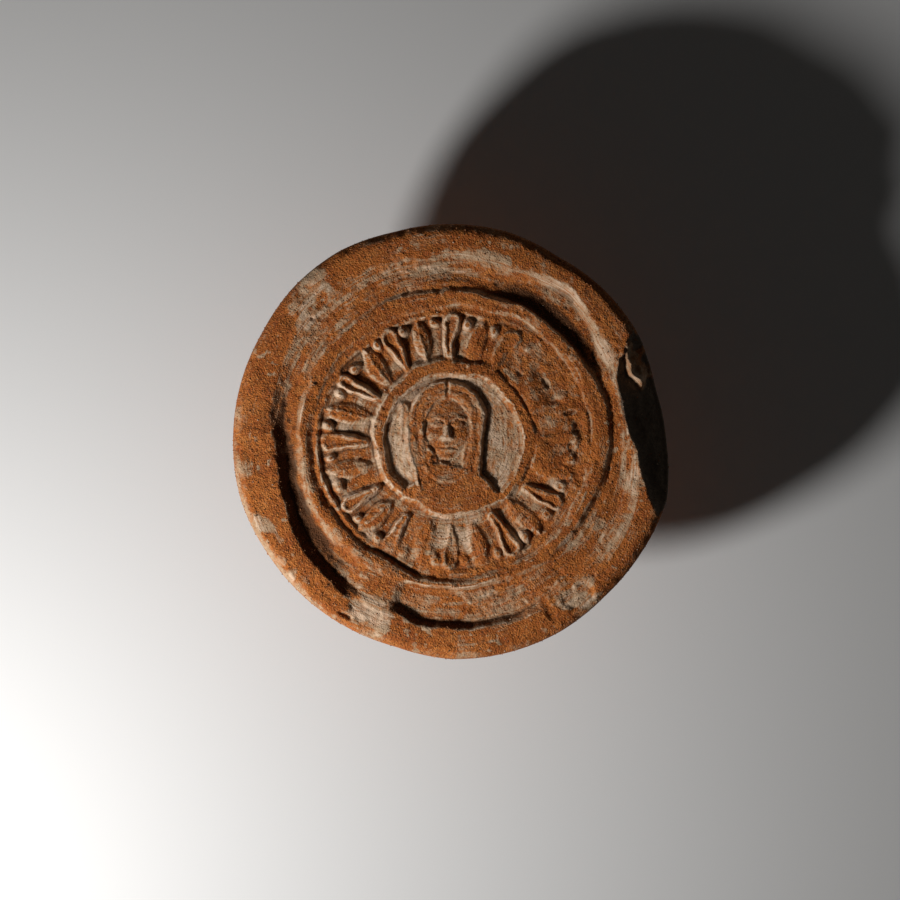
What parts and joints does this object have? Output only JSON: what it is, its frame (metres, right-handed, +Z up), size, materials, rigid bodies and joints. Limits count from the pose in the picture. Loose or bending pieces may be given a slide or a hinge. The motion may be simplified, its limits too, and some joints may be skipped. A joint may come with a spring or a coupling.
{
  "type": "bread stamp",
  "caption": "Hand-pressed terracotta bread stamp: a thick round disc with a head in a ringed medallion, an ornament band and a troughed rim, on a waisted stub handle.",
  "frame": {"origin": "centre of the handle's flat end, on which the stamp stands", "axes": "+Z up through the middle of the stamping face, +Y towards the top of the head on the face, +X to the right of the picture, towards the flaked rim"},
  "size_m": [0.1115, 0.1108, 0.051],
  "materials": {
    "disc_clay": "matt orange-brown terracotta with a sandy coat, paler on worn ridges",
    "handle_clay": "matt terracotta, rubbed by handling",
    "roll_clay": "matt terracotta, smeared with a finger"
  },
  "bodies": {
    "root": {"stamp_disc": "disc_clay", "handle": "handle_clay", "luting_roll": "roll_clay"}
  },
  "joints": []
}
